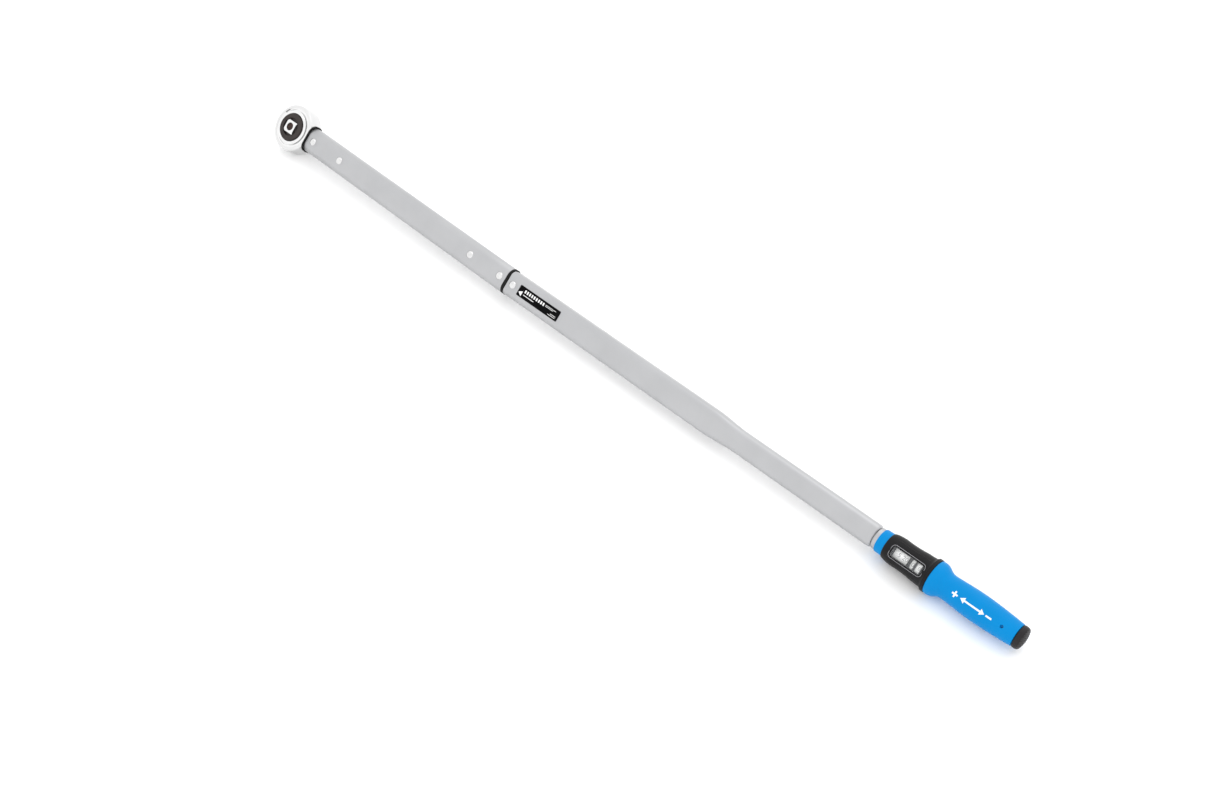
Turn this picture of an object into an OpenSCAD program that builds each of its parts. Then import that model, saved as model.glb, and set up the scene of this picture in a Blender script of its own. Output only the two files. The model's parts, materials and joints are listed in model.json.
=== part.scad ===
// Click-type torque wrench with a push-through square drive.
// Length runs along X from the head to the grip. The tool lies on a bench:
// head rim, tip of the square and the flange in front of the grip touch it.

/* [Lie on the bench] */
// Angle between the drive axis and the bench, degrees
lie = 45; // [40:1:50]
// Rest deflection of the head and front tube about the pivot, degrees
tilt = 0.65; // [0:0.05:0.7]

/* [Head] */
// Outer radius of the ratchet head
head_r = 36; // [35:0.5:40]
// Half of the head's thickness
head_t = 13; // [12.5:0.25:14]
// Width across flats of the square drive (3/4 inch)
square_af = 19.05; // [18.9:0.05:19.1]
// Number of ratchet teeth
teeth = 36; // [24:12:48]
// Height of the black hub above the middle plane
hub_top = 17.9; // [16.5:0.1:19]
// Height of the short end of the square above the middle plane
square_top = 19.3; // [18.5:0.1:21]

/* [Tubes] */
// Width of the front tube
front_w = 39; // [38:0.5:42]
// Thickness of the front tube
front_h = 26; // [25.5:0.5:28]
// Edge radius of the front tube
front_r = 12; // [11:0.5:12.5]
// Width of the main tube
main_w = 36.5; // [36:0.5:40]
// Thickness of the main tube
main_h = 25; // [25:0.5:27]
// Edge radius of the main tube
main_r = 8.5; // [7:0.5:10]
// Width of the slim tube behind the neck
slim_w = 31; // [28:0.5:34]
// Thickness of the slim tube
slim_h = 22; // [21.5:0.5:24]
// Edge radius of the slim tube
slim_r = 9; // [7:0.5:10.5]

/* [Places along the tool] */
// Front end of the front tube
x_front = 35.4; // [35:0.1:36]
// Rear end of the front tube
x_joint = 474; // [472:0.5:475]
// Release pivot pin
x_pivot = 489; // [488:0.5:493]
// Start of the neck
x_neck = 850; // [848:1:870]
// Start of the slim tube
x_slim = 905; // [895:1:930]
// Rear end of the slim tube
x_end = 1123; // [1121:0.5:1124]

/* [Handle] */
// Largest radius of the black flange
flange_r = 23; // [22.5:0.1:25]
// Largest radius of the grip's swell
grip_r = 18.3; // [17.5:0.1:20]
// Radius of the rivet heads
rivet_r = 5.6; // [4.5:0.1:6]
// Height of the rivet heads
rivet_rise = 3; // [1.5:0.1:3.5]

/* [Hidden] */
$fn = 64;
// distance of the handle's axis from the drive axis
w_off = -x_pivot * sin(tilt);
// rim chamfer of the head and turned radius at the tip of the square
rim_c = 1.5;
tip_r = 9;
// tip of the square, level with the head's rim on the bench
square_low = -(head_t + head_r - rim_c - tip_r);
// the tool pitches by this much so that the flange meets the bench too
drop = (head_t + head_r - rim_c) * sin(lie) + w_off * cos(lie) - flange_r;
pitch = atan(drop / 1205);
hub_low = -15;
square_travel = 23;
tooth_tip = 26.6;
tooth_root = 24.4;
pawl_x = 36;
pawl_w = 7;
rivet_x = [49, 111];
link_x = [401.5, 462.5];
spring_x0 = 624;
spring_x1 = 796;

// --- frames: the whole tool, the deflected front assembly, the rear assembly ---
module place() rotate([0, pitch, 0]) rotate([90 - lie, 0, 0]) children();
module front() place() rotate([0, 0, -tilt]) children();
module rear() place() translate([0, w_off, 0]) children();

// --- helpers ---
// flat oval section: width along the first axis, thickness along the second
module oval(w, t, r) {
    square([w - 2 * r, t], center = true);
    square([w, t - 2 * r], center = true);
    for (i = [-1, 1], j = [-1, 1]) translate([i * (w / 2 - r), j * (t / 2 - r)]) circle(r);
}
module bar(x0, x1, w, t, r)
    translate([x0, 0, 0]) rotate([90, 0, 90]) linear_extrude(x1 - x0) oval(w, t, r);
// solid of revolution about the X axis from [x, radius] points
module turned(pts) rotate([0, 90, 0]) rotate_extrude() polygon([for (p = pts) [p[1], p[0]]]);
module pipe(x0, x1, ri, ro)
    turned([[x0, ri], [x1, ri], [x1, ro], [x0, ro]]);
// solid of revolution about the drive direction from [radius, height] points
module turned_n(pts) rotate_extrude() polygon(pts);
module dome(r, h) {
    rs = (r * r + h * h) / (2 * h);
    intersection() {
        translate([0, 0, h - rs]) sphere(rs);
        cylinder(r = r, h = h);
    }
}
module rivet(half, r, head) {
    translate([0, 0, -half]) cylinder(r = r, h = 2 * half);
    for (s = [0, 1]) mirror([0, 0, s]) translate([0, 0, half]) dome(head, rivet_rise);
}
// coil spring along X: mean radius, wire radius, start, end, turns
module coil(rm, rw, x0, x1, turns, sides = 6, steps = 10) {
    n = turns * steps;
    pts = [for (i = [0:n], k = [0:sides - 1])
        let (a = 360 * i / steps, b = 360 * k / sides,
             c = rm + rw * cos(b), x = x0 + rw + (x1 - x0 - 2 * rw) * i / n + rw * sin(b))
        [x, c * cos(a), c * sin(a)]];
    quads = [for (i = [0:n - 1], k = [0:sides - 1])
        let (p = i * sides, q = p + sides, m = (k + 1) % sides) [p + k, q + k, q + m, p + m]];
    tris = [for (f = quads) each [[f[0], f[1], f[2]], [f[0], f[2], f[3]]]];
    polyhedron(points = pts, convexity = 6, faces = concat(
        [[for (k = [0:sides - 1]) k]], tris,
        [[for (k = [sides - 1:-1:0]) n * sides + k]]));
}
// outline of the toothed wheel, grown by g
module tooth_outline(g = 0) {
    polygon([for (i = [0:2 * teeth - 1])
        let (r = (i % 2 == 0 ? tooth_tip : tooth_root) + g, a = 180 * i / teeth)
        [r * cos(a), r * sin(a)]]);
}
// block with rounded plan corners, standing up along the drive direction
module pad(x0, x1, w, r, z0, z1) translate([(x0 + x1) / 2, 0, z0])
    linear_extrude(z1 - z0) oval(x1 - x0, w, r);

// --- head ---
module head_body() color("gainsboro") front() difference() {
    union() {
        difference() {
            turned_n([[0, -head_t], [head_r - rim_c, -head_t], [head_r, -head_t + rim_c],
                [head_r, head_t - rim_c], [head_r - rim_c, head_t], [0, head_t]]);
            // flat seat for the seal
            translate([32.6, -40, -20]) cube([10, 80, 40]);
        }
        bar(0, 32.6, 42, 2 * head_t, 11);
        bar(30, 132, 32.8, 19.8, 8.9);
    }
    // wheel cavity, cover seat, ring groove and lower bearing hole
    translate([0, 0, -9.2]) cylinder(r = 27.2, h = 18.4);
    translate([0, 0, 9.2]) cylinder(r = 31, h = 10);
    translate([0, 0, 11.6]) cylinder(r = 32, h = 1.2);
    translate([0, 0, -20]) cylinder(r = 20.05, h = 20);
    // pawl pocket, pawl pin hole, pawl spring hole
    translate([0, 0, -7.2]) linear_extrude(14.4) polygon([[20, 13], [38, 13.6],
        [42.8, 10.2], [42.8, 3], [39, -4], [36.5, -13], [31.5, -16.5], [20, -16.5]]);
    translate([pawl_x, pawl_w, -9.5]) cylinder(r = 2.5, h = 18.2);
    translate([33, -8, 0]) rotate([0, 90, 0]) cylinder(r = 2.3, h = 11.5);
    for (x = rivet_x) translate([x, 0, -15]) cylinder(r = 3.5, h = 30);
}
module cover_plate() color("whitesmoke") front() turned_n([[21.75, 9.25], [30.9, 9.25],
    [30.9, 11.5], [27, 11.5], [27, 14.7], [26.4, 15.3], [22.4, 15.3], [21.75, 14.7]]);
module retaining_ring() color("dimgray") front() difference() {
    translate([0, 0, 11.65]) cylinder(r = 31.9, h = 1.1);
    translate([0, 0, 11]) cylinder(r = 28.4, h = 3);
    translate([0, 0, 11]) rotate([0, 0, 143]) linear_extrude(3) polygon([[0, 0], [40, -6], [40, 6]]);
}
module pawl_pin() color("silver") front() translate([pawl_x, pawl_w, -9.5])
    cylinder(r = 2.5, h = 18.2);
module pawl_spring() color("silver") front() translate([0, -8, 0])
    coil(1.6, 0.35, 31.9, 44.3, 7, 6, 10);
module pawl() color("dimgray") front() difference() {
    translate([0, 0, -6.8]) linear_extrude(13.6) {
        polygon([[pawl_x - 2, pawl_w + 5.1], [28.6, 8], [27.7, 3], [27.3, -3.9], [25.7, -4.7],
            [21.5, -6], [20.5, -11], [23.9, -13.2], [29, -12.6], [31.4, -6], [34.5, 0],
            [pawl_x + 5, pawl_w - 2.2]]);
        translate([pawl_x, pawl_w]) circle(5.5);
    }
    translate([pawl_x, pawl_w, -10]) cylinder(r = 2.55, h = 20);
    translate([0, 0, -10]) linear_extrude(20) tooth_outline(0.18);
}
module ratchet_wheel() color([0.2, 0.2, 0.2]) front() difference() {
    union() {
        translate([0, 0, -9]) linear_extrude(18) tooth_outline();
        turned_n([[0, 0], [21.4, 0], [21.4, hub_top - 0.8], [20.6, hub_top], [0, hub_top]]);
        turned_n([[0, hub_low], [19.2, hub_low], [20, hub_low + 0.8], [20, 0], [0, 0]]);
    }
    rotate([0, 0, tilt]) {
        translate([0, 0, -20]) linear_extrude(50) square(square_af + 0.2, center = true);
        // relief around the square at each end of the hub
        translate([0, 0, hub_top - 3.2]) cylinder(r = 14.4, h = 5);
        translate([0, 0, hub_low - 4]) cylinder(r = 14.4, h = 5);
        rotate([-90, 0, 0]) cylinder(r = 2, h = 30);
        // groove that the socket ball runs in when the square is pushed through
        translate([0, -2.8, -20]) cube([10.8, 5.6, 18.5]);
    }
}
module keeper_screw() color("dimgray") place() difference() {
    rotate([-90, 0, 0]) translate([0, 0, 8.2]) cylinder(r = 2, h = 14.8);
    translate([0, 24.2, 0]) rotate([90, 0, 0]) cylinder(r = 1.4, h = 3.2, $fn = 6);
}
// eight-sided taper with flats at distance d0 below and d1 above
module taper(z0, z1, d0, d1) translate([0, 0, z0]) rotate([0, 0, 22.5])
    cylinder(h = z1 - z0, r1 = d0 / cos(22.5), r2 = d1 / cos(22.5), $fn = 8);
module drive_square() color("silver") place() difference() {
    intersection() {
        translate([0, 0, square_low]) linear_extrude(square_top - square_low)
            square(square_af, center = true);
        translate([0, 0, square_low]) cylinder(r = 12.9, h = 70);
        taper(square_low, square_low + 60, tip_r, tip_r + 60);
        taper(square_top - 60, square_top, 71.4, 11.4);
    }
    // button recess, rod bore, ball hole, keeper groove
    translate([0, 0, 4]) cylinder(r = 6.2, h = 20);
    translate([0, 0, square_low + 1.2]) cylinder(r = 3.6, h = 43);
    translate([0, 0, square_low + 9.5]) rotate([0, 90, 0]) cylinder(r = 3.55, h = 20);
    translate([0, 8, 0]) pad_slot(-square_travel - 2.1, 2.1, 2.1);
}
// round-ended slot cut inwards from the +W side of the square
module pad_slot(z0, z1, r) {
    for (z = [z0 + r, z1 - r]) translate([0, 0, z]) rotate([-90, 0, 0]) cylinder(r = r, h = 6);
    translate([-r, 0, z0 + r]) cube([2 * r, 6, z1 - z0 - 2 * r]);
}
module release_button() color("sienna") place() turned_n([[0, square_low + 5.6],
    [3.5, square_low + 5.6], [3.5, square_low + 8.7], [1.9, square_low + 12.7],
    [1.9, square_low + 15], [3.5, square_low + 17], [3.5, 14.2], [6.1, 14.2],
    [6.1, 16.7], [5.7, 17], [4.8, 16.2], [2.8, 15.4], [0, 15.2]]);
module socket_ball() color("silver") place() translate([7, 0, square_low + 9.5]) sphere(3.5);
module button_spring() color("silver") place() rotate([0, -90, 0])
    coil(4.55, 0.4, 4.1, 14.1, 5, 6, 10);

// --- front tube and lever ---
module head_seal() color([0.1, 0.1, 0.1]) front() difference() {
    bar(32.6, x_front, 43, 28.5, 12.5);
    bar(30, 40, 32.8, 19.8, 8.9);
}
module front_tube() color([0.78, 0.78, 0.79]) front() difference() {
    bar(x_front, x_joint, front_w, front_h, front_r);
    bar(x_front - 1, x_joint + 1, 33, 20, 9);
    for (x = concat(rivet_x, link_x)) translate([x, 0, -20]) cylinder(r = 3.5, h = 40);
}
module head_rivets() color("white") front()
    for (x = rivet_x) translate([x, 0, 0]) rivet(front_h / 2, 3.5, rivet_r);
module link_rivets() color("white") front()
    for (x = link_x) translate([x, 0, 0]) rivet(front_h / 2, 3.5, rivet_r);
module lever_bar() color("gray") front() difference() {
    union() {
        bar(388, x_joint, 32.8, 19.8, 8.9);
        bar(x_joint - 6, 560, 22, 17, 3);
    }
    for (x = link_x) translate([x, 0, -15]) cylinder(r = 3.5, h = 30);
    translate([x_pivot, 0, -15]) cylinder(r = 4.05, h = 30);
}
module joint_seal() color([0.1, 0.1, 0.1]) front() difference() {
    bar(x_joint, 478.4, 39, 26, 12);
    bar(x_joint - 1, 480, 32.8, 19.8, 8.9);
}

// --- main tube ---
// section along the neck: t = 0 at the main tube, 1 at the slim tube
module neck_slice(t) {
    k = (1 - cos(180 * t)) / 2;
    x = x_neck + (x_slim - x_neck) * t;
    bar(x - 0.05, x + 0.05, main_w + (slim_w - main_w) * k, main_h + (slim_h - main_h) * k,
        main_r + (slim_r - main_r) * k, $fn = 48);
}
module main_tube() color([0.78, 0.78, 0.79]) rear() difference() {
    union() {
        bar(479.2, x_neck, main_w, main_h, main_r);
        for (i = [0:3]) hull() {
            neck_slice(i / 4);
            neck_slice((i + 1) / 4);
        }
        bar(x_slim, x_end, slim_w, slim_h, slim_r);
    }
    bar(470, 846, 30.5, 19.6, 5.5);
    translate([840, 0, 0]) rotate([0, 90, 0]) cylinder(r = 8.6, h = 300);
    translate([x_pivot * cos(tilt), 0, -20]) cylinder(r = 4, h = 40);
}
module pivot_pin() color("white") rear() translate([x_pivot * cos(tilt), 0, 0])
    rivet(main_h / 2, 4, rivet_r);
module rating_plate() color([0.07, 0.07, 0.07]) rear()
    pad(502, 580, 16, 1.5, main_h / 2, main_h / 2 + 0.3);
module plunger_bush() color("peru") rear() difference() {
    bar(586, 616, 30.5, 19.6, 5.5);
    translate([580, 0, 0]) rotate([0, 90, 0]) cylinder(r = 8.05, h = 50);
}
module plunger() color("gray") rear() {
    bar(575, 582.5, 22, 17, 3);
    turned([[582, 0], [620, 0], [620, 8], [582, 8]]);
    turned([[620, 0], [634, 0], [634, 4.6], [633, 4.8], [spring_x0 - 3, 4.8],
        [spring_x0 - 3, 9.4], [620, 9.4]]);
}
module spring_seat() color("silver") rear() pipe(spring_x0 - 3, spring_x0, 4.8, 9.4);
module toggle_block() color("dimgray") rear() translate([567.7, 0, -7])
    linear_extrude(14) oval(14.4, 10, 1);
module main_spring() color([0.3, 0.3, 0.32]) rear()
    coil(7.4, 1.9, spring_x0, spring_x1, 20, 6, 12);
module seat_washer() color("silver") rear() pipe(spring_x1, 800, 5.3, 9.4);
module spring_nut() color("peru") rear() difference() {
    bar(800, 822, 30.1, 19.2, 5.3);
    translate([790, 0, 0]) rotate([0, 90, 0]) cylinder(r = 5.05, h = 50);
}
module spindle() color("gray") rear() turned([[770, 0], [1324, 0], [1324, 4.2],
    [1323.2, 5], [1075, 5], [1075, 8.2], [1070, 8.2], [1070, 5], [770.8, 5], [770, 4.2]]);
module rear_race() color("silver") rear() pipe(1075, 1077, 5, 8.3);
module bearing_balls() color("silver") rear() for (i = [0:9])
    rotate([36 * i, 0, 0]) translate([1078.5, 6.8, 0]) sphere(1.42);
module front_race() color("silver") rear() pipe(1080, 1082, 5.3, 8.6);
module end_bush() color([0.7, 0.7, 0.71]) rear() turned([[1082, 5.06], [1240, 5.06],
    [1240, 11], [1129, 11], [1129, 14.4], [x_end + 1.2, 14.4], [x_end, 13.2], [x_end, 8.6],
    [1082, 8.6]]);

// --- handle ---
module front_ring() color([0, 0.55, 0.85]) rear() turned([[1129, 11], [1140.7, 11],
    [1140.7, 16], [1131.5, 15.9], [1129.8, 15.7], [1129, 15]]);
module scale_housing() color([0.2, 0.2, 0.21]) rear() difference() {
    union() {
        turned([[1140.7, 11], [1145, 11], [1145, 16.65], [1208, 16.65], [1208, 22.6],
            [1207.4, flange_r], [1203.6, flange_r], [1202.4, 21.8], [1200.6, 20.7],
            [1196, 20.3], [1188, 20], [1181, 19.3], [1174, 18.8], [1163, 18.8],
            [1156, 19.2], [1150, 18.8], [1144.5, 17.9], [1141.6, 17.1], [1140.7, 16.4]]);
        // raised window frame
        intersection() {
            pipe(1146, 1204, 17.5, 20.6);
            pad(1151, 1199.4, 17.4, 4.5, 0, 30);
        }
    }
    // lens seat
    intersection() {
        pipe(1140, 1210, 19.5, 30);
        pad(1153, 1197.6, 14.2, 3, 0, 40);
    }
    // three openings over the scale and the two drums
    for (w = [[1156, 1177], [1181, 1186], [1188.4, 1195.2]])
        translate([w[0], -6, 10]) cube([w[1] - w[0], 12, 20]);
}
module window_lens() color([0.9, 0.95, 1, 0.3]) rear() intersection() {
    pipe(1150, 1200, 19.5, 20.2);
    pad(1153.1, 1197.5, 14, 2.9, 0, 40);
}
module scale_sleeve() color("white") rear() pipe(1150.5, 1183, 11.05, 14.5);
module tens_drum() color("white") rear() pipe(1180.6, 1186.6, 14.85, 16.6);
module unit_drum() color("white") rear() pipe(1187.6, 1196, 15.5, 16.35);
module drum_carrier() color([0.25, 0.25, 0.25]) rear() turned([[1187.6, 14.8],
    [1213, 14.8], [1213, 19], [1209.4, 19], [1209.4, 16.2], [1196, 16.2], [1196, 15.5],
    [1187.6, 15.5]]);
module grip() color([0, 0.6, 0.9]) rear() difference() {
    turned([[1208.3, 16.3], [1209.4, 16.3], [1209.4, 19], [1213, 19], [1213, 11.3],
        [1250, 11.3], [1250, 11.5], [1329, 11.5], [1329, 15.4], [1319, grip_r - 2.1],
        [1311, grip_r - 1.55], [1300, grip_r - 0.85], [1290, grip_r - 0.4],
        [1281, grip_r - 0.1], [1273, grip_r], [1265, grip_r - 0.1], [1256, grip_r - 0.5],
        [1246, grip_r - 1.1], [1237, grip_r - 1.6], [1231, grip_r - 1.7],
        [1228, grip_r - 1.45], [1225.5, grip_r - 0.8], [1223, 18.7], [1220.5, 20.3],
        [1218, 21.6], [1215.5, 22.4], [1212, 22.7], [1209.3, 22.6], [1208.3, 22.1]]);
    translate([1311, 0, 0]) cylinder(r = 2.2, h = 30);
}
module grip_core() color("silver") rear() difference() {
    pipe(1250, 1316, 5, 11.5);
    translate([1311, 0, 0]) cylinder(r = 2, h = 30);
}
module set_screw() color("dimgray") rear() translate([1311, 0, 0]) difference() {
    translate([0, 0, 5.1]) cylinder(r = 2, h = 8.4);
    translate([0, 0, 11.5]) cylinder(r = 1.15, h = 4, $fn = 6);
}
module lock_nut() color("silver") rear() difference() {
    translate([1316, 0, 0]) rotate([0, 90, 0]) cylinder(r = 8.6, h = 6, $fn = 6);
    translate([1310, 0, 0]) rotate([0, 90, 0]) cylinder(r = 5, h = 20);
}
module end_cap() color([0.25, 0.24, 0.25]) rear() difference() {
    turned([[1316.6, 9.2], [1331, 9.2], [1331, 0], [1340.2, 0], [1340.2, 12],
        [1339.7, 13.2], [1338.4, 14.3], [1336, 15], [1333, 15.3], [1330, 15.4],
        [1329.3, 15.3], [1329.3, 11.2], [1319.3, 11.2], [1319.3, 10.4], [1317.5, 10.4],
        [1317.5, 11.2], [1316.6, 11.2]]);
    // finger grooves across the end
    for (i = [-2:2]) translate([1339.4, 4 * i - 0.7, -20]) cube([4, 1.4, 40]);
}
module cap_ring() color([0.1, 0.1, 0.1]) rear() pipe(1317.6, 1319.2, 10.4, 11.3);

head_body();
cover_plate();
retaining_ring();
pawl_pin();
pawl_spring();
head_seal();
front_tube();
head_rivets();
link_rivets();
lever_bar();
joint_seal();
ratchet_wheel();
keeper_screw();
drive_square();
button_spring();
release_button();
socket_ball();
pawl();
pivot_pin();
main_tube();
rating_plate();
plunger_bush();
main_spring();
end_bush();
front_race();
bearing_balls();
front_ring();
scale_housing();
window_lens();
plunger();
spring_seat();
toggle_block();
spring_nut();
seat_washer();
spindle();
rear_race();
grip();
grip_core();
set_screw();
drum_carrier();
unit_drum();
lock_nut();
scale_sleeve();
tens_drum();
end_cap();
cap_ring();
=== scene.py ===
"""Click-type torque wrench on a pale studio floor.

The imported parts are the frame. This script gives every part its finish, makes the tubes, the grip, the
cap and the printed marks as worked-out surfaces, and sets up the floor, the lights and the camera.
"""

import json
import logging
import math
from dataclasses import dataclass
from enum import Enum
from typing import Iterable, Sequence

import bmesh
import bpy
import numpy as np
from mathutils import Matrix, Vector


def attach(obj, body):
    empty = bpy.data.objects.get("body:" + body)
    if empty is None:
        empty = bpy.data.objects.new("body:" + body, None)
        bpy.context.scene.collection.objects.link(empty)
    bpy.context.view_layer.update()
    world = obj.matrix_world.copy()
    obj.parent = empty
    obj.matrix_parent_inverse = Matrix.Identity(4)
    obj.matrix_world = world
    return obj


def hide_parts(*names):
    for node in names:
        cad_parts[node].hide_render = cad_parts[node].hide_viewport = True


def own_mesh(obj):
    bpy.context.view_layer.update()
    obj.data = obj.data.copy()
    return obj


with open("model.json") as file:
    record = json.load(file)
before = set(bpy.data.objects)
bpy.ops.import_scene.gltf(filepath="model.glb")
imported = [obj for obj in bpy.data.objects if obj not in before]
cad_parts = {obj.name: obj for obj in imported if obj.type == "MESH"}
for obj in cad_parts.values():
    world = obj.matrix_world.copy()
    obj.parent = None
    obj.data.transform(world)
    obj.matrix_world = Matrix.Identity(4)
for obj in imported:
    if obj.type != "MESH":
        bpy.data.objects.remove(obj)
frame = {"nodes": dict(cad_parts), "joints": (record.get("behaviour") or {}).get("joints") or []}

LOG = logging.getLogger("torque_wrench")
MM = 0.001
WELD_M = 1e-6  # points closer than this, in metres, become one
FLAT_ENDS = (0.04, 0.96)  # where each flat of an oval has its extra points, as shares of the flat
EDGE_MIDDLE = 0.3  # where a rounded tube edge has its middle ring, as a share of the edge
CAPITAL_SHARE = 0.7  # height of a capital in the built-in font, as a share of its size
LETTER_STEPS = 4  # steps in one curve of a letter
INK_LIFT = 0.03  # height of printed ink over its face, in millimetres


class Place(Enum):
    """The two halves of the tool, which meet at the release pivot."""

    FRONT = "front"
    REAR = "rear"


class Look(Enum):
    """The finishes that the pieces wear; each value is its material's name."""

    TUBE_SATIN = "satin_nickel_tube"
    HEAD_SATIN = "bright_nickel_head"
    BRIGHT = "polished_steel"
    RIVET_STEEL = "rivet_steel"
    BLACK_OXIDE = "black_oxide_steel"
    TURNED_STEEL = "turned_steel"
    SPRING_STEEL = "oiled_spring_steel"
    RUBBER = "seal_rubber"
    BLACK_PLASTIC = "black_housing_plastic"
    CAP_PLASTIC = "grey_black_cap_plastic"
    BLUE_PLASTIC = "blue_grip_plastic"
    WHITE_PLASTIC = "white_drum_plastic"
    DIGIT_INK = "mid_grey_ink"
    WHITE_INK = "white_ink"
    LABEL_FILM = "black_label_film"
    BUTTON = "brown_button_steel"
    BRASS = "turned_brass"
    LENS = "clear_lens"


# ---------- Axes of the tool ----------


@dataclass(frozen=True)
class ToolAxes:
    """Directions of one half of the tool: along it, across it, and up out of its broad face."""

    start: np.ndarray
    along: np.ndarray
    across: np.ndarray
    rise: np.ndarray

    def place(self, local: np.ndarray) -> np.ndarray:
        """Carries points from tool millimetres to row metres.

        Args:
            local: points as (along, across, rise) in millimetres, last axis of length 3.

        Returns:
            The same points in the row frame, in metres: start plus each number times its direction.
        """
        return self.start + MM * (local @ np.stack([self.along, self.across, self.rise]))


def joint_named(name: str) -> dict:
    """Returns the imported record's joint of that name."""
    return next(j for j in frame["joints"] if j["name"] == name)


def tool_axes(place: Place) -> ToolAxes:
    """Works out one half's directions from the pivot joint and the grip joint.

    Args:
        place: which half of the tool.

    Returns:
        The axes. The rise is the pivot's axis. The rear half runs along the grip's axis, and the front
        half along the line from the drive axis to the pivot.
    """
    pivot, grip = joint_named("release_pivot"), joint_named("grip_turn")
    rise = np.array(pivot["axis"], float)
    if place is Place.FRONT:
        along = np.array(pivot["pos_m"], float)
        along /= np.linalg.norm(along)
        start = np.zeros(3)
    else:
        along = np.array(grip["axis"], float)
        across = np.cross(rise, along)
        start = across * float(np.dot(grip["pos_m"], across))
    return ToolAxes(start, along, np.cross(rise, along), rise)


# ---------- Surfaces ----------


def oval_loop(width: float, height: float, radius: float, arc_steps: int = 10) -> np.ndarray:
    """Outline of a flat oval section.

    Four quarter circles stand on the corner centres and straight flats join them. Each flat has a point
    close to either end, so that its shading stays flat.

    Args:
        width: size along the first axis.
        height: size along the second axis.
        radius: corner radius.
        arc_steps: steps in one quarter circle.

    Returns:
        An array of (across, rise) points, once round.
    """
    quarter = np.linspace(0.0, math.pi / 2, arc_steps + 1)
    corners = np.array([[1, 1], [-1, 1], [-1, -1], [1, -1]], float)
    centres = corners * [width / 2 - radius, height / 2 - radius]
    turns = quarter[None] + math.pi / 2 * np.arange(4)[:, None]
    arcs = centres[:, None] + radius * np.stack([np.cos(turns), np.sin(turns)], -1)
    ends, starts = arcs[:, -1], np.roll(arcs[:, 0], -1, 0)
    step = (starts - ends)[:, None] * np.array(FLAT_ENDS)[None, :, None]
    return np.concatenate([arcs, ends[:, None] + step], 1).reshape(-1, 2)


def lofted(places: Iterable[float], loops: Iterable[np.ndarray]) -> np.ndarray:
    """Grid that carries one outline per place along the tool: each row is (place, across, rise)."""
    rows = [np.column_stack([np.full(len(loop), x), loop]) for x, loop in zip(places, loops)]
    return np.stack(rows)


def turned(profile: np.ndarray, angles: np.ndarray) -> np.ndarray:
    """Grid of a profile turned about the tool's axis.

    Args:
        profile: (along, radius) points.
        angles: angles from the rise direction, in radians, once round.

    Returns:
        A grid with a row per profile point: along, radius times sine, radius times cosine.
    """
    ring = np.stack([np.sin(angles), np.cos(angles)], -1)
    across = profile[:, None, 1:2] * ring[None]
    along = np.broadcast_to(profile[:, None, 0:1], across.shape[:2] + (1,))
    return np.concatenate([along, across], -1)


def flowing(points: Sequence[Sequence[float]], steps: int) -> np.ndarray:
    """Smooth curve through listed points: a cubic between each pair, whose slope at a point is half the
    way from the point before to the point after.

    Args:
        points: the points of the curve.
        steps: steps between two points.

    Returns:
        The points of the curve, ends included.
    """
    p = np.array(points, float)
    slope = np.gradient(p, axis=0)
    t = np.linspace(0.0, 1.0, steps, endpoint=False)[None, :, None]
    a, b, m, n = p[:-1, None], p[1:, None], slope[:-1, None], slope[1:, None]
    cubic = (2 * t**3 - 3 * t**2 + 1) * a + (t**3 - 2 * t**2 + t) * m
    cubic = cubic + (-2 * t**3 + 3 * t**2) * b + (t**3 - t**2) * n
    return np.vstack([cubic.reshape(-1, p.shape[1]), p[-1:]])


def smoothstep(value: np.ndarray) -> np.ndarray:
    """Eased step: 0 below 0, 1 above 1, and three squares less two cubes between."""
    t = np.clip(value, 0.0, 1.0)
    return t * t * (3 - 2 * t)


def full_turn(steps: int) -> np.ndarray:
    """Even angles once round, in radians."""
    return np.linspace(0.0, 2 * math.pi, steps, endpoint=False)


def grid_quads(rows: int, cols: int, ring: bool) -> np.ndarray:
    """Faces of a grid whose columns close on themselves.

    Args:
        rows: number of rows.
        cols: number of columns.
        ring: True where the last row joins the first.

    Returns:
        Four corner numbers per face.
    """
    index = np.arange(rows * cols).reshape(rows, cols)
    after = np.roll(index, -1, 1)
    low, low_after = (index, after) if ring else (index[:-1], after[:-1])
    high, high_after = (np.roll(index, -1, 0), np.roll(after, -1, 0)) if ring else (index[1:], after[1:])
    return np.stack([low, low_after, high_after, high], -1).reshape(-1, 4)


def copied_quads(rows: int, cols: int, copies: int) -> np.ndarray:
    """Faces of several equal open grids, whose points follow each other."""
    quads = grid_quads(rows, cols, ring=False)
    return np.vstack([quads + i * rows * cols for i in range(copies)])


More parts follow.
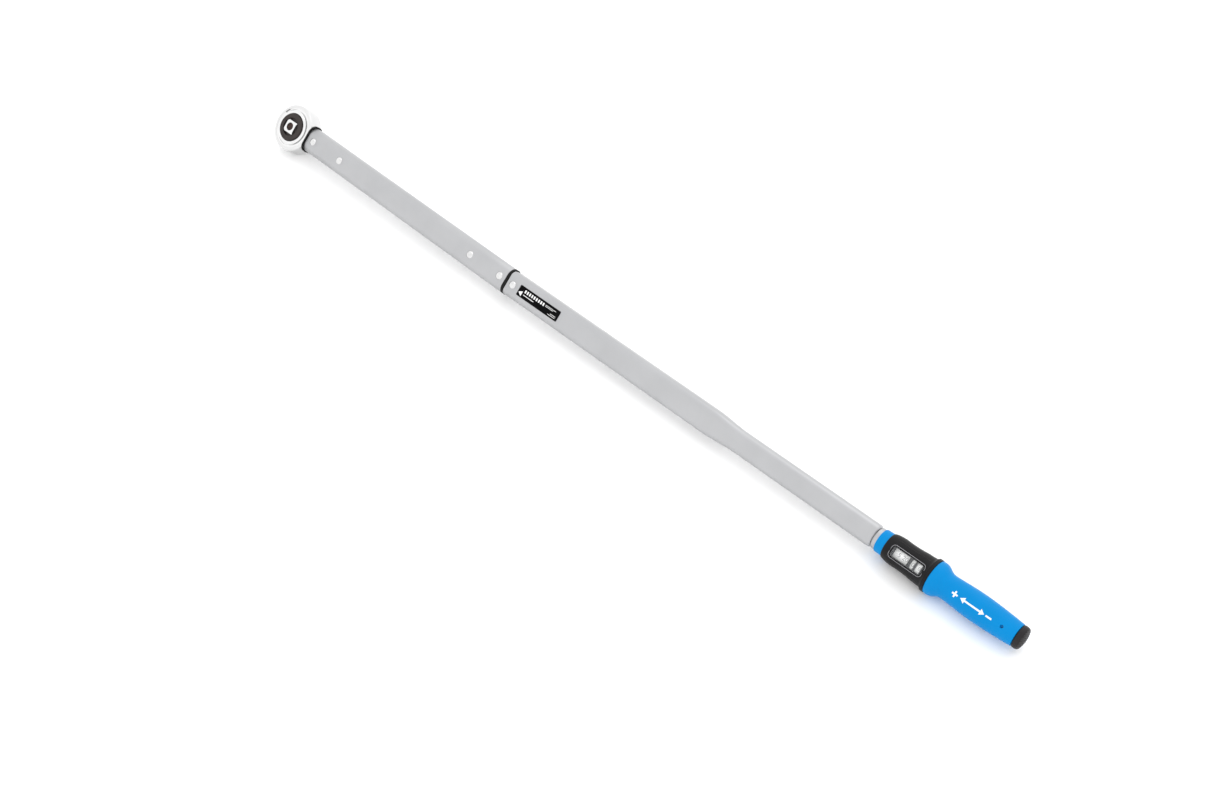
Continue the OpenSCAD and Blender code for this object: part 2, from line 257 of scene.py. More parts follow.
def new_piece(
    name: str,
    points: np.ndarray,
    faces: np.ndarray,
    material: bpy.types.Material,
    body: str,
    replaces: Sequence[str] = (),
    sharp_deg: float = 38.0,
) -> bpy.types.Object:
    """Makes one closed piece of points and faces, and hangs it on its body.

    Args:
        name: the piece's name.
        points: points in the row frame, in metres.
        faces: corner numbers, one row per face.
        material: its finish.
        body: the body that it rides on.
        replaces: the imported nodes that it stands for.
        sharp_deg: edges that bend by more than this stay sharp.

    Returns:
        The new object.
    """
    mesh = bpy.data.meshes.new(name)
    mesh.from_pydata(points.reshape(-1, 3).tolist(), [], faces.tolist())
    work = bmesh.new()
    work.from_mesh(mesh)
    bmesh.ops.remove_doubles(work, verts=work.verts, dist=WELD_M)
    bmesh.ops.recalc_face_normals(work, faces=work.faces)
    work.to_mesh(mesh)
    work.free()
    mesh.polygons.foreach_set("use_smooth", np.ones(len(mesh.polygons), bool))
    mesh.set_sharp_from_angle(angle=math.radians(sharp_deg))
    mesh.materials.append(material)
    piece = bpy.data.objects.new(name, mesh)
    bpy.context.scene.collection.objects.link(piece)
    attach(piece, body)
    if replaces:
        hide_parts(*replaces)
    LOG.info("%s: %d faces on %s", name, len(mesh.polygons), body)
    return piece


# ---------- Finishes ----------


@dataclass(frozen=True)
class Finish:
    """A surface finish: a base colour that drifts a little, and a fine grain in its gloss and height.

    Colours are linear. Sizes are repeats of the pattern per metre, and stretch multiplies them along
    each axis, so that a small number draws the grain out into brush lines. Below the first of the drift
    edges the pattern has the drift colour, and above the second the base colour.
    """

    colour: tuple[float, float, float]
    drift: tuple[float, float, float]
    roughness: tuple[float, float] = (0.35, 0.45)
    metallic: float = 0.0
    specular: float = 0.5
    drift_size: float = 40.0
    grain_size: float = 1500.0
    grain_height_mm: float = 0.01
    stretch: tuple[float, float, float] = (1.0, 1.0, 1.0)
    alpha: float = 1.0
    drift_edges: tuple[float, float] = (0.3, 0.7)
    drift_detail: float = 3.0
    grain_detail: float = 2.0
    bump: float = 0.6

    def build(self, name: str) -> bpy.types.Material:
        """Makes a material with this finish.

        Args:
            name: the material's name.

        Returns:
            The new material.
        """
        material = bpy.data.materials.new(name)
        material.use_nodes = True
        nodes, links = material.node_tree.nodes, material.node_tree.links
        shader = nodes["Principled BSDF"]
        shader.inputs["Metallic"].default_value = self.metallic
        shader.inputs["Specular IOR Level"].default_value = self.specular
        shader.inputs["Alpha"].default_value = self.alpha
        place = nodes.new("ShaderNodeTexCoord")
        mapping = nodes.new("ShaderNodeMapping")
        mapping.inputs["Scale"].default_value = self.stretch
        links.new(place.outputs["Object"], mapping.inputs["Vector"])
        blotches = self._noise(nodes, links, mapping, self.drift_size, self.drift_detail)
        ramp = nodes.new("ShaderNodeValToRGB")
        for stop, edge, colour in zip(ramp.color_ramp.elements, self.drift_edges, (self.drift, self.colour)):
            stop.position = edge
            stop.color = (*colour, 1.0)
        links.new(blotches.outputs["Fac"], ramp.inputs["Fac"])
        links.new(ramp.outputs["Color"], shader.inputs["Base Color"])
        grain = self._noise(nodes, links, mapping, self.grain_size, self.grain_detail)
        gloss = nodes.new("ShaderNodeMapRange")
        gloss.inputs["To Min"].default_value = self.roughness[0]
        gloss.inputs["To Max"].default_value = self.roughness[1]
        links.new(grain.outputs["Fac"], gloss.inputs["Value"])
        links.new(gloss.outputs["Result"], shader.inputs["Roughness"])
        bump = nodes.new("ShaderNodeBump")
        bump.inputs["Strength"].default_value = self.bump
        bump.inputs["Distance"].default_value = self.grain_height_mm * MM
        links.new(grain.outputs["Fac"], bump.inputs["Height"])
        links.new(bump.outputs["Normal"], shader.inputs["Normal"])
        return material

    @staticmethod
    def _noise(nodes: bpy.types.Nodes, links: bpy.types.NodeLinks, mapping: bpy.types.Node, size: float,
               detail: float) -> bpy.types.Node:
        """Adds a noise node on the mapped coordinates.

        Args:
            nodes: the material's nodes.
            links: the material's links.
            mapping: the node that gives the coordinates.
            size: repeats of the pattern per metre.
            detail: how many finer layers the pattern has.

        Returns:
            The noise node.
        """
        noise = nodes.new("ShaderNodeTexNoise")
        noise.inputs["Scale"].default_value = size
        noise.inputs["Detail"].default_value = detail
        links.new(mapping.outputs["Vector"], noise.inputs["Vector"])
        return noise


FINISHES: dict[Look, Finish] = {
    Look.TUBE_SATIN: Finish((0.450, 0.453, 0.463), (0.424, 0.427, 0.437), (0.36, 0.44), 1.0,
                         drift_size=25.0, grain_size=2200.0, grain_height_mm=0.004),
    Look.HEAD_SATIN: Finish((0.68, 0.68, 0.68), (0.645, 0.645, 0.645), (0.26, 0.34), 1.0,
                         grain_height_mm=0.004),
    Look.BRIGHT: Finish((0.74, 0.74, 0.74), (0.68, 0.68, 0.68), (0.14, 0.24), 1.0,
                     grain_height_mm=0.002),
    Look.RIVET_STEEL: Finish((0.69, 0.69, 0.69), (0.60, 0.60, 0.60), (0.12, 0.2), 1.0,
                          drift_size=180.0, grain_height_mm=0.003),
    Look.BLACK_OXIDE: Finish((0.042, 0.034, 0.031), (0.024, 0.019, 0.018), (0.34, 0.48),
                          0.3, specular=0.3, grain_height_mm=0.006),
    Look.TURNED_STEEL: Finish((0.42, 0.42, 0.44), (0.35, 0.35, 0.37), (0.25, 0.4), 1.0,
                           stretch=(1.0, 0.05, 0.05)),
    Look.SPRING_STEEL: Finish((0.14, 0.14, 0.15), (0.09, 0.09, 0.1), (0.3, 0.4), 0.9),
    Look.RUBBER: Finish((0.005, 0.005, 0.005), (0.008, 0.008, 0.008), (0.55, 0.7),
                     specular=0.15),
    Look.BLACK_PLASTIC: Finish((0.0085, 0.0085, 0.009), (0.011, 0.011, 0.012),
                            (0.38, 0.5), specular=0.12, grain_size=1800.0, grain_height_mm=0.02),
    Look.CAP_PLASTIC: Finish((0.015, 0.013, 0.014), (0.021, 0.019, 0.020),
                          (0.4, 0.52), specular=0.2, grain_size=1800.0, grain_height_mm=0.02),
    Look.BLUE_PLASTIC: Finish((0.0, 0.226, 0.565), (0.0, 0.214, 0.54), (0.30, 0.38),
                           specular=0.09, grain_size=1300.0, grain_height_mm=0.012),
    Look.WHITE_PLASTIC: Finish((0.94, 0.94, 0.93), (0.91, 0.91, 0.90), (0.4, 0.5)),
    Look.DIGIT_INK: Finish((0.26, 0.26, 0.265), (0.32, 0.32, 0.325), (0.5, 0.6)),
    Look.WHITE_INK: Finish((0.86, 0.86, 0.86), (0.80, 0.80, 0.80), (0.45, 0.55)),
    Look.LABEL_FILM: Finish((0.0035, 0.0035, 0.004), (0.0055, 0.0055, 0.006), (0.3, 0.36),
                         specular=0.02, grain_height_mm=0.003),
    Look.BUTTON: Finish((0.062, 0.034, 0.027), (0.022, 0.014, 0.012), (0.3, 0.42), 0.6,
                     drift_size=300.0),
    Look.BRASS: Finish((0.50, 0.35, 0.13), (0.42, 0.28, 0.10), (0.25, 0.35), 1.0),
    Look.LENS: Finish((0.9, 0.93, 0.95), (0.88, 0.92, 0.94), (0.03, 0.06), alpha=0.05,
                   specular=0.3, grain_height_mm=0.001),
}

NODE_FINISH: dict[Look, tuple[str, ...]] = {
    Look.TUBE_SATIN: ("end_bush",),
    Look.HEAD_SATIN: ("head_body",),
    Look.BRIGHT: ("cover_plate", "retaining_ring", "drive_square", "socket_ball"),
    Look.BLACK_OXIDE: ("ratchet_wheel", "pawl", "keeper_screw", "set_screw", "toggle_block"),
    Look.TURNED_STEEL: ("pawl_pin", "lever_bar", "plunger", "spindle", "spring_seat", "seat_washer",
                     "front_race", "rear_race", "bearing_balls", "grip_core", "lock_nut"),
    Look.RUBBER: ("head_seal", "joint_seal", "cap_ring"),
    Look.BLACK_PLASTIC: ("scale_housing", "drum_carrier"),
    Look.BLUE_PLASTIC: ("front_ring",),
    Look.WHITE_PLASTIC: ("scale_sleeve", "tens_drum", "unit_drum"),
    Look.LABEL_FILM: ("rating_plate",),
    Look.BUTTON: ("release_button",),
    Look.BRASS: ("plunger_bush", "spring_nut"),
    Look.LENS: ("window_lens",),
}


class Paintbox:
    """Builds each finish once and gives it out."""

    def __init__(self, finishes: dict[Look, Finish]) -> None:
        """Keeps the finishes; nothing is built yet."""
        self._finishes = finishes
        self._built: dict[Look, bpy.types.Material] = {}

    def get(self, look: Look) -> bpy.types.Material:
        """Gives out the material of a finish, and builds it the first time.

        Args:
            look: which finish.

        Returns:
            Its material.
        """
        if look not in self._built:
            self._built[look] = self._finishes[look].build(look.value)
        return self._built[look]

    def dress_nodes(self, choices: dict[Look, tuple[str, ...]]) -> None:
        """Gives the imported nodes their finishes.

        Args:
            choices: each finish, with the nodes that wear it.
        """
        for look, names in choices.items():
            for name in names:
                mesh = frame["nodes"][name].data
                mesh.materials.clear()
                mesh.materials.append(self.get(look))
            LOG.info("%s on %s", look.value, ", ".join(names))


# ---------- Tubes ----------


@dataclass(frozen=True)
class Oval:
    """A flat oval section, in millimetres."""

    width: float
    height: float
    radius: float

    def loop(self, inset: float = 0.0) -> np.ndarray:
        """Returns the outline, moved inwards by inset."""
        return oval_loop(self.width - 2 * inset, self.height - 2 * inset, self.radius - inset)


@dataclass(frozen=True)
class FrontTube:
    """Riveted front tube: one oval section with rounded end edges."""

    outer: Oval = Oval(39.0, 26.0, 12.0)
    inner: Oval = Oval(33.0, 20.0, 9.0)
    x_start: float = 35.4
    x_end: float = 474.0
    edge: float = 0.5

    def build(self, paint: Paintbox) -> bpy.types.Object:
        """Makes the tube: the outer skin, its end rims and the bore, carried round as one closed grid.

        Args:
            paint: where the finishes come from.

        Returns:
            The tube.
        """
        e = self.edge
        ends = np.array([0.0, EDGE_MIDDLE * e, e])
        insets = ends[::-1]
        places = [*(self.x_start + ends), *(self.x_end - ends[::-1]), self.x_end, self.x_start]
        loops = [self.outer.loop(i) for i in (*insets, *insets[::-1])] + [self.inner.loop()] * 2
        grid = tool_axes(Place.FRONT).place(lofted(places, loops))
        return new_piece("front_tube_skin", grid, grid_quads(*grid.shape[:2], ring=True),
                         paint.get(Look.TUBE_SATIN), "lever", ["front_tube"])


@dataclass(frozen=True)
class MainTube:
    """Main tube: a flat oval that necks down to a slim oval, with a swaged rear end."""

    outer: Oval = Oval(36.5, 25.0, 8.5)
    slim: Oval = Oval(31.0, 22.0, 9.0)
    bore: Oval = Oval(30.5, 19.6, 5.5)
    slim_bore: Oval = Oval(17.2, 17.2, 8.59)
    x_start: float = 479.2
    x_neck: float = 850.0
    x_slim: float = 905.0
    x_end: float = 1123.0
    x_bore_end: float = 846.0
    edge: float = 0.5
    swage: float = 4.6
    neck_steps: int = 28
    swage_steps: int = 10

    def neck(self, share: float) -> Oval:
        """Section along the neck: half a cosine wave leads from the main oval to the slim one.

        Args:
            share: place along the neck, from 0 at its start to 1 at its end.

        Returns:
            The section there.
        """
        k = (1 - math.cos(math.pi * share)) / 2
        a, b = self.outer, self.slim
        return Oval(a.width + (b.width - a.width) * k, a.height + (b.height - a.height) * k,
                    a.radius + (b.radius - a.radius) * k)

    def build(self, paint: Paintbox) -> bpy.types.Object:
        """Makes the tube as one closed grid: outer skin, neck, swaged end and bore.

        Args:
            paint: where the finishes come from.

        Returns:
            The tube.
        """
        e = self.edge
        places = [self.x_start, self.x_start + EDGE_MIDDLE * e, self.x_start + e]
        loops = [self.outer.loop(i) for i in (e, EDGE_MIDDLE * e, 0.0)]
        for share in np.linspace(0.0, 1.0, self.neck_steps + 1):
            places.append(self.x_neck + (self.x_slim - self.x_neck) * share)
            loops.append(self.neck(share).loop())
        for turn in np.linspace(0.0, math.pi / 2, self.swage_steps + 1):
            places.append(self.x_end - self.swage * (1 - math.sin(turn)))
            loops.append(self.slim.loop(self.swage * (1 - math.cos(turn))))
        for x, bore in ((self.x_end, self.slim_bore), (self.x_bore_end, self.slim_bore),
                        (self.x_bore_end, self.bore), (self.x_start, self.bore)):
            places.append(x)
            loops.append(bore.loop())
        grid = tool_axes(Place.REAR).place(lofted(places, loops))
        return new_piece("main_tube_skin", grid, grid_quads(*grid.shape[:2], ring=True),
                         paint.get(Look.TUBE_SATIN), "main", ["main_tube"])


# ---------- Springs ----------


@dataclass(frozen=True)
class CoilSpring:
    """Round-wire coil spring, in millimetres."""

    node: str
    half: Place
    body: str
    joint: str
    keep: float
    start: tuple[float, float, float]
    length: float
    coil_r: float
    wire_r: float
    turns: int
    upright: bool = False
    anchor_at_start: bool = True
    steps: int = 24
    sides: int = 10

    def build(self, paint: Paintbox) -> bpy.types.Object:
        """Makes the spring: a small circle carried along a helix, closed to a point at both ends.

        The circle's middle is at coil_r times (cosine, sine) of the turn. A point of the circle lies
        further out by wire_r times a cosine, and further along by wire_r times a sine.

        Args:
            paint: where the finishes come from.

        Returns:
            The spring.
        """
        t = np.linspace(0.0, 1.0, self.turns * self.steps + 1)
        size = np.full(len(t), self.wire_r)
        t, size = np.concatenate([t[:1], t, t[-1:]]), np.concatenate([[0.0], size, [0.0]])
        angle, around = 2 * math.pi * self.turns * t[:, None], full_turn(self.sides)[None]
        radius = self.coil_r + size[:, None] * np.cos(around)
        along = self.wire_r + (self.length - 2 * self.wire_r) * t[:, None] + size[:, None] * np.sin(around)
        shape = np.stack([along, radius * np.cos(angle), radius * np.sin(angle)], -1)
        if self.upright:
            shape = shape[..., [1, 2, 0]]
        axes = tool_axes(self.half)
        points = axes.place(shape + np.array(self.start))
        piece = new_piece(f"{self.node}_coil", points, grid_quads(*points.shape[:2], ring=False),
                          paint.get(Look.SPRING_STEEL), self.body, [self.node])
        lead = np.array([0.0, 0.0, 1.0] if self.upright else [1.0, 0.0, 0.0])
        fixed = np.array(self.start) + (0.0 if self.anchor_at_start else self.length) * lead
        [float(c) for c in axes.place(fixed)]
        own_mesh(piece)
        return piece


# ---------- Handle ----------

GRIP_OUTLINE = (
    (1208.3, 21.9), (1208.7, 22.45), (1210.0, 22.65), (1212.0, 22.7), (1215.5, 22.35), (1218.0, 21.55),
    (1220.5, 20.25), (1223.0, 18.75), (1225.5, 17.5), (1228.5, 16.75), (1232.0, 16.6), (1238.0, 16.8),
    (1247.0, 17.35), (1256.0, 17.85), (1265.0, 18.2), (1273.0, 18.3), (1281.0, 18.2), (1290.0, 17.9),
    (1300.0, 17.4), (1311.0, 16.7), (1319.0, 16.15), (1327.7, 15.48), (1328.7, 15.3), (1329.0, 14.9),
)
CAP_SIDE = ((1329.9, 14.6), (1330.3, 15.1), (1331.4, 15.3), (1333.4, 15.25), (1335.4, 14.95), (1337.0, 14.2))
CAP_INSIDE = ((1331.0, 0.0), (1331.0, 9.2), (1316.6, 9.2), (1316.6, 11.0), (1316.8, 11.2), (1317.5, 11.2),
              (1317.5, 10.4), (1319.3, 10.4), (1319.3, 11.2), (1329.9, 11.2))
RIB_LINE = ((1149.0, 18.6), (1156.0, 19.1), (1163.0, 18.75), (1174.0, 18.75), (1181.0, 19.25),
            (1188.0, 19.95), (1196.0, 20.25), (1200.0, 20.55))
OUTLINE_STEPS = 6


def grip_curve() -> np.ndarray:
    """Returns the grip's outer profile as (along, radius) points on a smooth curve."""
    return flowing(GRIP_OUTLINE, OUTLINE_STEPS)


@dataclass(frozen=True)
class SoftGrip:
    """Blue grip: a bulb behind the flange, a long swell, a screw well and two fine mould seams.

    Its rows stand closer together within well_reach radii of the well, and its columns within the given
    angles of the well and the seams.
    """

    x_front: float = 1208.3
    x_rear: float = 1329.0
    bore_r: float = 11.6
    recess_end: float = 1213.2
    recess_r: float = 16.3
    well_x: float = 1311.0
    well_r: float = 2.0
    well_depth: float = 3.2
    well_rim: float = 0.12
    well_reach: float = 1.5
    well_rows: int = 41
    well_half_deg: float = 10.0
    seam_height: float = 0.10
    seam_half_deg: float = 1.0
    seam_reach_deg: float = 1.5
    seam_ends: tuple[float, float] = (1222.0, 1324.0)
    seam_fade: float = 6.0
    coarse_deg: float = 3.0
    fine_deg: float = 0.5

    def _profile(self) -> np.ndarray:
        """Works out the outer profile, with extra points around the screw well.

        Returns:
            The (along, radius) points.
        """
        outline = grip_curve()
        extra = self.well_x + self.well_r * np.linspace(-self.well_reach, self.well_reach, self.well_rows)
        x = np.unique(np.round(np.concatenate([outline[:, 0], extra]), 4))
        return np.column_stack([x, np.interp(x, outline[:, 0], outline[:, 1])])

    def _angles(self) -> np.ndarray:
        """Works out the grip's columns, close together at the screw well and at the two mould seams.

        Returns:
            Angles once round, in radians.
        """
        coarse = np.arange(0.0, 360.0, self.coarse_deg)
        well, seam = (np.arange(-half, half + self.fine_deg / 2, self.fine_deg)
                      for half in (self.well_half_deg, self.seam_reach_deg))
        return np.radians(np.unique(np.round(np.concatenate([coarse, well % 360, 90 + seam, 270 + seam]), 3)))

    def _shaped(self, grid: np.ndarray, angles: np.ndarray) -> np.ndarray:
        """Sinks the screw well and raises the mould seams.

        The well lowers each point by the depth times an eased step of its nearness to the well's middle.
        The seams raise points by a small height times an eased step of their nearness to 90 and 270
        degrees, and fade at both ends.

        Args:
            grid: the turned grip, a row per profile point and a column per angle.
            angles: the columns' angles, in radians.

        Returns:
            The grid with the well and the seams.
        """
        x, radius = grid[..., 0], np.linalg.norm(grid[..., 1:], axis=-1)
        away = np.hypot(x - self.well_x, grid[..., 1]) / self.well_r
        facing = np.cos(angles)[None] > 0
        sink = self.well_depth * smoothstep((1 + self.well_rim - away) / (2 * self.well_rim)) * facing
        off = np.minimum(np.abs(np.degrees(angles) - 90), np.abs(np.degrees(angles) - 270))
        start, end = self.seam_ends
        run = smoothstep((x - start) / self.seam_fade) * smoothstep((end - x) / self.seam_fade)
        lift = self.seam_height * smoothstep(1 - off / self.seam_half_deg)[None] * run
        shaped = grid.copy()
        shaped[..., 1:] *= ((radius - sink + lift) / radius)[..., None]
        return shaped

    def build(self, paint: Paintbox) -> bpy.types.Object:
        """Makes the grip as a closed ring: outer skin, rear face, bore and front face.

        Args:
            paint: where the finishes come from.

        Returns:
            The grip.
        """
        angles = self._angles()
        outer = self._shaped(turned(self._profile(), angles), angles)
        ends = np.array([[self.x_rear, self.bore_r], [self.recess_end, self.bore_r],
                         [self.recess_end, self.recess_r], [self.x_front, self.recess_r]])
        grid = np.concatenate([outer, turned(ends, angles)])
        grid = tool_axes(Place.REAR).place(grid)
        return new_piece("grip_skin", grid, grid_quads(*grid.shape[:2], ring=True),
                         paint.get(Look.BLUE_PLASTIC), "grip", ["grip"], sharp_deg=50.0)


@dataclass(frozen=True)
class LockCap:
    """Black end cap: a short turned knob with fine finger ridges across its domed end."""

    rib_pitch: float = 2.5
    rib_depth: float = 0.9
    rib_reach: float = 13.9
    rib_start: float = 1333.0
    x_face: float = 1340.15
    rib_flat: float = 0.3
    rib_slope: float = 0.5
    rib_fade: float = 1.2
    crown_rise: float = 2.3
    crown_r: float = 13.3
    crown_steps: int = 69
    sides: int = 300

    def build(self, paint: Paintbox) -> bpy.types.Object:
        """Makes the cap. The end is lowered by a rounded wave across it, which fades at the rim.

        Args:
            paint: where the finishes come from.

        Returns:
            The cap.
        """
        crown_r = np.linspace(self.crown_r, 0.0, self.crown_steps + 1)
        crown = np.column_stack([self.x_face - self.crown_rise * (crown_r / self.crown_r) ** 2, crown_r])
        profile = np.vstack([CAP_INSIDE, flowing(CAP_SIDE, OUTLINE_STEPS), crown])
        grid = turned(profile, full_turn(self.sides))
        radius = np.linalg.norm(grid[..., 1:], axis=-1)
        wave = 0.5 - 0.5 * np.cos(2 * math.pi * grid[..., 1] / self.rib_pitch)
        sink = self.rib_depth * smoothstep((wave - self.rib_flat) / self.rib_slope)
        sink *= smoothstep((self.rib_reach - radius) / self.rib_fade)
        grid[..., 0] -= np.where(grid[..., 0] > self.rib_start, sink, 0.0)
        grid = tool_axes(Place.REAR).place(grid)
        return new_piece("end_cap_skin", grid, grid_quads(*grid.shape[:2], ring=False),
                         paint.get(Look.CAP_PLASTIC), "cap", ["end_cap"], sharp_deg=60.0)


@dataclass(frozen=True)
class DomedRivets:
    """Rivets through a tube: a shank and two domed heads, each with a faint dimple in its crown."""

    node: str
    half: Place
    body: str
    places: tuple[float, ...]
    reach: float
    shank_r: float
    head_r: float = 5.6
    head_rise: float = 3.0
    dimple_r: float = 1.5
    dimple_depth: float = 0.35
    dimple_flat: float = 0.2
    crown_r: float = 2.0
    crown_rings: int = 13
    slope_r: float = 2.4
    slope_rings: int = 12
    rim: float = 0.02
    sides: int = 48

    def build(self, paint: Paintbox) -> bpy.types.Object:
        """Makes the rivets, each one turned about its own line along the drive direction.

        The head is a circle's arc from the rim to the crown, less a small eased dip at the middle:
        rise = arc height at that radius - depth * eased step of the nearness to the middle. Its rings
        stand closer together in the crown than on the slope.

        Args:
            paint: where the finishes come from.

        Returns:
            The rivets as one piece.
        """
        ball = (self.head_r**2 + self.head_rise**2) / (2 * self.head_rise)
        crown = np.linspace(0.0, self.crown_r, self.crown_rings)
        r = np.concatenate([crown, np.linspace(self.slope_r, self.head_r - self.rim, self.slope_rings)])
        rise = np.sqrt(ball**2 - r**2) - (ball - self.head_rise)
        rise -= self.dimple_depth * smoothstep(1 - r / self.dimple_r + self.dimple_flat)
        head = np.column_stack([r, self.reach + np.maximum(rise, 0.0)])
        top = np.vstack([head, [[self.head_r, self.reach], [self.shank_r, self.reach]]])
        profile = np.vstack([top, top[::-1] * [1.0, -1.0]])
        angles = full_turn(self.sides)
        ring = np.stack([np.cos(angles), np.sin(angles)], -1)
        flat = profile[:, None, :1] * ring[None]
        upright = np.broadcast_to(profile[:, None, 1:], flat.shape[:2] + (1,))
        shape = np.concatenate([flat, upright], -1)
        points = tool_axes(self.half).place(np.stack([shape + [x, 0.0, 0.0] for x in self.places]))
        faces = copied_quads(*shape.shape[:2], copies=len(self.places))
        return new_piece(f"{self.node}_domed", points, faces, paint.get(Look.RIVET_STEEL), self.body,
                         [self.node])


@dataclass(frozen=True)
class WindowHighlightBead:
    """Thin bright bead round the raised window frame: its round shape is the frame's edge, its steel gloss a
    painted highlight.
    """

    x_start: float = 1151.0
    x_end: float = 1199.4
    width: float = 17.4
    radius: float = 4.5
    face_r: float = 20.6
    bead_r: float = 0.28
    arc_steps: int = 8
    sides: int = 10

    def build(self, paint: Paintbox) -> bpy.types.Object:
        """Makes the bead: a small circle carried round the frame's rounded outline on the curved face.

        Args:
            paint: where the finishes come from.

        Returns:
            The bead.
        """
        loop = oval_loop(self.x_end - self.x_start, self.width, self.radius, self.arc_steps)
        x, w = loop[:, 0] + (self.x_start + self.x_end) / 2, loop[:, 1]
        path = np.column_stack([x, w, np.sqrt(self.face_r**2 - w**2)])
        ahead = np.roll(path, -1, 0) - np.roll(path, 1, 0)
        ahead /= np.linalg.norm(ahead, axis=1, keepdims=True)
        out = np.column_stack([np.zeros(len(path)), path[:, 1:] / self.face_r])
        side = np.cross(ahead, out)
        turn = full_turn(self.sides)[None, :, None]
        grid = path[:, None] + self.bead_r * (np.cos(turn) * side[:, None] + np.sin(turn) * out[:, None])
        grid = tool_axes(Place.REAR).place(grid)
        # The steel finish on the black plastic frame paints the frame edge's highlight.
        return new_piece("window_highlight_bead", grid, grid_quads(*grid.shape[:2], ring=True),
                         paint.get(Look.TURNED_STEEL), "main")


@dataclass(frozen=True)
class HousingRibsAndHighlight:
    """Two fine ribs along the scale housing, one on either side of the window; their lighter plastic is a
    painted highlight line.
    """

    turn_deg: float = 50.0
    rib_r: float = 0.4
    fade_power: int = 6
    steps: int = 8
    sides: int = 10

    def build(self, paint: Paintbox) -> bpy.types.Object:
        """Makes the ribs: a small circle carried along the housing's outline at a fixed angle.

        Its radius shrinks to nothing at both ends, as the square root of 1 less t to the fade power,
        with t from -1 to 1 along the rib.

        Args:
            paint: where the finishes come from.

        Returns:
            The ribs as one piece.
        """
        outline = flowing(RIB_LINE, self.steps)
        t = np.linspace(-1.0, 1.0, len(outline))
        size = self.rib_r * np.sqrt(np.clip(1 - t**self.fade_power, 0.0, 1.0))[:, None]
        turn = full_turn(self.sides)[None]
        grids = []
        for side in (-1, 1):
            angle = side * math.radians(self.turn_deg) + size * np.sin(turn) / outline[:, 1:]
            radius = outline[:, 1:] + size * np.cos(turn)
            along = np.broadcast_to(outline[:, :1], radius.shape)
            grids.append(np.stack([along, radius * np.sin(angle), radius * np.cos(angle)], -1))
        faces = copied_quads(*grids[0].shape[:2], copies=len(grids))
        # The cap's lighter plastic on the black housing paints the ribs' highlight line.
        return new_piece("housing_ribs_and_highlight", tool_axes(Place.REAR).place(np.stack(grids)), faces,
                         paint.get(Look.CAP_PLASTIC), "main")


# ---------- Printed marks ----------


def plate_faces(count: int) -> np.ndarray:
    """Faces of count boxes, each with four lower corners and then four upper ones."""
    box = np.array([[3, 2, 1, 0], [4, 5, 6, 7], [0, 1, 5, 4], [1, 2, 6, 5], [2, 3, 7, 6], [3, 0, 4, 7]])
    return (box[None] + 8 * np.arange(count)[:, None, None]).reshape(-1, 4)


def plate_points(corners: np.ndarray, low: float, high: float) -> np.ndarray:
    """Thin plates over flat outlines.

    Args:
        corners: four (along, across) corners per plate.
        low: height of the underside.
        high: height of the printed face.

    Returns:
        Eight (along, across, height) points per plate.
    """
    flat = np.asarray(corners, float)
    layers = [np.concatenate([flat, np.full(flat.shape[:2] + (1,), h)], -1) for h in (low, high)]
    return np.concatenate(layers, 1).reshape(-1, 3)


def bar_corners(x: float, w: float, length: float, height: float) -> list[list[float]]:
    """Corners of an upright bar, from its lowest (along, across) corner and its size."""
    return [[x, w], [x + length, w], [x + length, w + height], [x, w + height]]


def rolled(points: np.ndarray, radius: float) -> np.ndarray:
    """Rolls flat points onto a drum: across becomes an arc of that length.

    Args:
        points: (along, across, lift) points.
        radius: the drum's radius.

    Returns:
        The (along, across, rise) points.
    """
    angle = points[:, 1] / radius
    out = radius + points[:, 2]
    return np.column_stack([points[:, 0], out * np.sin(angle), out * np.cos(angle)])


def text_outline(text: str, height: float) -> tuple[np.ndarray, np.ndarray]:
    """Flat triangles of a short text, centred on its middle.

    Args:
        text: the characters.
        height: height of a capital, in millimetres.

    Returns:
        The (x, y) points and the triangles.
    """
    curve = bpy.data.curves.new("lettering", "FONT")
    curve.body = text
    curve.size = 1.0
    curve.resolution_u = LETTER_STEPS
    holder = bpy.data.objects.new("lettering", curve)
    bpy.context.scene.collection.objects.link(holder)
    bpy.context.view_layer.update()
    mesh = bpy.data.meshes.new_from_object(holder)
    work = bmesh.new()
    work.from_mesh(mesh)
    bmesh.ops.triangulate(work, faces=work.faces)
    bmesh.ops.subdivide_edges(work, edges=work.edges, cuts=1, use_grid_fill=True)
    bmesh.ops.triangulate(work, faces=work.faces)
    work.verts.index_update()
    points = np.array([v.co[:2] for v in work.verts], float)
    faces = np.array([[v.index for v in f.verts] for f in work.faces], int)
    work.free()
    bpy.data.objects.remove(holder)
    bpy.data.meshes.remove(mesh)
    middle = (points.min(0) + points.max(0)) / 2
    return (points - middle) * height / CAPITAL_SHARE, faces


def lettering_on_drum(
    marks: Iterable[tuple[str, float, float]], height: float, radius: float
) -> tuple[np.ndarray, np.ndarray]:
    """Texts laid on a drum.

    Args:
        marks: text, place along the tool and arc length round the drum, for each one.
        height: height of a capital.
        radius: radius of the drum's face.

    Returns:
        Points in tool millimetres and triangles.
    """
    points, faces, count = [], [], 0
    for text, x, arc in marks:
        flat, triangles = text_outline(text, height)
        lifted = np.column_stack([flat[:, 0] + x, flat[:, 1] + arc, np.full(len(flat), INK_LIFT)])
        points.append(rolled(lifted, radius))
        faces.append(triangles + count)
        count += len(flat)
    return np.vstack(points), np.vstack(faces)


